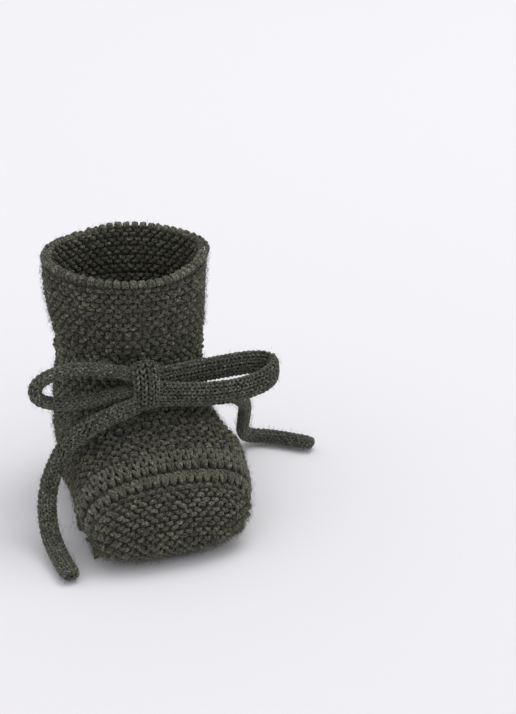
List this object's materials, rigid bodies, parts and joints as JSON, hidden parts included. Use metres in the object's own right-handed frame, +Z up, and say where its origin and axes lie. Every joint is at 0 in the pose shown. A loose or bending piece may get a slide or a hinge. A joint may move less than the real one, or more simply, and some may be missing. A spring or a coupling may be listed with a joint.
{
  "type": "baby bootie",
  "caption": "Soft knitted baby bootie with a garter-stitch foot and leg, a welted toe and a knitted tie bowed at the ankle.",
  "frame": {"origin": "on the floor under the middle of the foot", "axes": "+Z up, toe towards -Y, heel towards +Y, +X to the right seen from the toe"},
  "size_m": [0.1289, 0.1106, 0.095],
  "materials": {
    "garter_knit": "heathered dark grey-green wool in garter stitch, matt and slightly fuzzy",
    "knit_edges_and_seams": "the same wool in bound-off, tucked and overcast edges",
    "knitted_tie": "the same wool in a stockinette tube"
  },
  "bodies": {
    "foot": {"sole": "garter_knit", "sole_seam": "knit_edges_and_seams", "toe_cap": "garter_knit", "front_toe_welt": "knit_edges_and_seams", "toe_band": "garter_knit", "rear_toe_welt": "knit_edges_and_seams", "instep_panel": "garter_knit", "left_side_panel": "garter_knit", "right_side_panel": "garter_knit", "heel_cup": "garter_knit", "heel_seam": "knit_edges_and_seams", "ankle_gather": "garter_knit", "tie_ankle_run": "knitted_tie", "bow_core": "knitted_tie", "bow_wrap": "knitted_tie"},
    "leg": {"leg_tube": "garter_knit", "cuff_rim": "knit_edges_and_seams", "leg_back_seam": "knit_edges_and_seams"},
    "left_loop": {"tie_left_loop": "knitted_tie"},
    "right_loop": {"tie_right_loop": "knitted_tie"},
    "left_tail": {"tie_left_tail": "knitted_tie", "left_tail_tip": "knitted_tie"},
    "right_tail": {"tie_right_tail": "knitted_tie", "right_tail_tip": "knitted_tie"}
  },
  "joints": [
    {"name": "ankle_flex", "type": "hinge", "parent": "foot", "child": "leg", "pos_m": [0, 0.026, 0.056], "axis": [-1, 0, 0], "range_deg": [-12, 20], "stiffness_Nm_per_rad": 0.05, "deforming": ["ankle_gather"]},
    {"name": "left_loop_swing", "type": "hinge", "parent": "foot", "child": "left_loop", "pos_m": [-0.0106, -0.009, 0.0553], "axis": [0, 1, 0], "range_deg": [-3, 5], "stiffness_Nm_per_rad": 0.004},
    {"name": "right_loop_swing", "type": "hinge", "parent": "foot", "child": "right_loop", "pos_m": [0.0018, -0.0113, 0.053], "axis": [0, -1, 0], "range_deg": [-2, 12], "stiffness_Nm_per_rad": 0.004},
    {"name": "left_tail_lift", "type": "hinge", "parent": "foot", "child": "left_tail", "pos_m": [-0.0106, -0.0156, 0.0476], "axis": [-1, 0, 0], "range_deg": [0, 55]},
    {"name": "right_tail_lift", "type": "hinge", "parent": "foot", "child": "right_tail", "pos_m": [0.0018, -0.0076, 0.0466], "axis": [1, 0, 0], "range_deg": [0, 20]}
  ]
}
